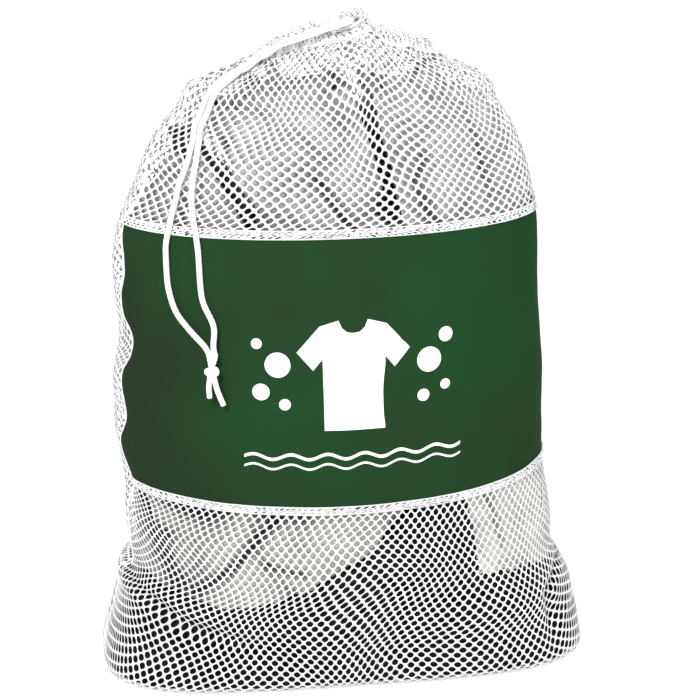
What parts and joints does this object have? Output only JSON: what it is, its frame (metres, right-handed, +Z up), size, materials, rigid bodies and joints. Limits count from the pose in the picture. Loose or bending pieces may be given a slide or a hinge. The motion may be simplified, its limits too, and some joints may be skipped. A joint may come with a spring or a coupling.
{
  "type": "mesh laundry bag",
  "caption": "Drawstring laundry bag of open mesh with a plain woven front panel, filled with washing, drawn shut and standing on its base, its knotted drawcord hanging down the front.",
  "frame": {"origin": "middle of the base, on the floor, under the bottom seam", "axes": "+Z up to the drawn mouth, -Y out of the panelled front, +X to the right seen from the front"},
  "size_m": [0.5539, 0.3112, 0.7174],
  "materials": {
    "bag_mesh": "white knitted polyester mesh with round holes",
    "seam_band": "doubled white mesh, overlocked and stitched",
    "panel_fabric": "dark green plain-woven polyester with a low sheen",
    "drawcord": "white round braided polyester cord",
    "white_towel": "white terry cloth",
    "cream_towel": "cream terry cloth",
    "dark_cloth": "dark grey knitted cloth"
  },
  "bodies": {
    "root": {"front_lower_mesh": "bag_mesh", "front_upper_mesh": "bag_mesh", "back_mesh": "bag_mesh", "front_panel": "panel_fabric", "panel_bottom_seam_band": "seam_band", "panel_top_seam_band": "seam_band", "left_side_seam": "seam_band", "right_side_seam": "seam_band", "bottom_seam": "seam_band", "dark_garment": "dark_cloth", "cream_towel_left": "cream_towel", "cream_towel_right": "cream_towel", "white_towel_middle_left": "white_towel", "white_towel_middle_right": "white_towel", "white_towel_top_left": "white_towel", "white_towel_top_middle": "white_towel", "white_towel_top_right": "white_towel"},
    "front_hem": {"front_hem_casing": "seam_band", "front_casing_cord": "drawcord"},
    "back_hem": {"back_hem_casing": "seam_band", "back_casing_cord": "drawcord"},
    "cord_mouth": {"cord_mouth_outer": "drawcord", "cord_mouth_inner": "drawcord"},
    "cord_upper": {"cord_upper_outer": "drawcord", "cord_upper_inner": "drawcord"},
    "cord_middle": {"cord_middle_outer": "drawcord", "cord_middle_inner": "drawcord"},
    "cord_lower": {"cord_lower_outer": "drawcord", "cord_lower_inner": "drawcord"},
    "knot": {"cord_knot": "drawcord", "cord_tail_short": "drawcord", "cord_tail_long": "drawcord"}
  },
  "joints": [
    {"name": "cord_pull", "type": "slide", "parent": "root", "child": "cord_mouth", "axis": [0, 0, 1], "range_m": [0, 0.03]},
    {"name": "front_hem_close", "type": "slide", "parent": "root", "child": "front_hem", "axis": [0, 1, 0], "range_m": [0, 0.009]},
    {"name": "back_hem_close", "type": "slide", "parent": "root", "child": "back_hem", "axis": [0, -1, 0], "range_m": [0, 0.009]},
    {"name": "cord_lift_mouth", "type": "hinge", "parent": "cord_mouth", "child": "cord_upper", "pos_m": [0.022, 0, 0.713], "axis": [-0.6, 0.8, 0], "range_deg": [0, 95]},
    {"name": "cord_bend_shoulder", "type": "hinge", "parent": "cord_upper", "child": "cord_middle", "pos_m": [-0.14758, -0.05936, 0.60211], "axis": [-0.8732, 0.4874, 0], "range_deg": [0, 60]},
    {"name": "cord_bend_middle", "type": "hinge", "parent": "cord_middle", "child": "cord_lower", "pos_m": [-0.15074, -0.09078, 0.49855], "axis": [-0.8938, 0.4484, 0], "range_deg": [0, 60]},
    {"name": "knot_swing", "type": "hinge", "parent": "cord_lower", "child": "knot", "pos_m": [-0.13955, -0.12451, 0.38575], "axis": [-0.922, 0.3872, 0], "range_deg": [0, 75]}
  ],
  "couplings": [
    {"joint": "front_hem_close", "follows": "cord_pull", "ratio": 0.3},
    {"joint": "back_hem_close", "follows": "cord_pull", "ratio": 0.3}
  ]
}
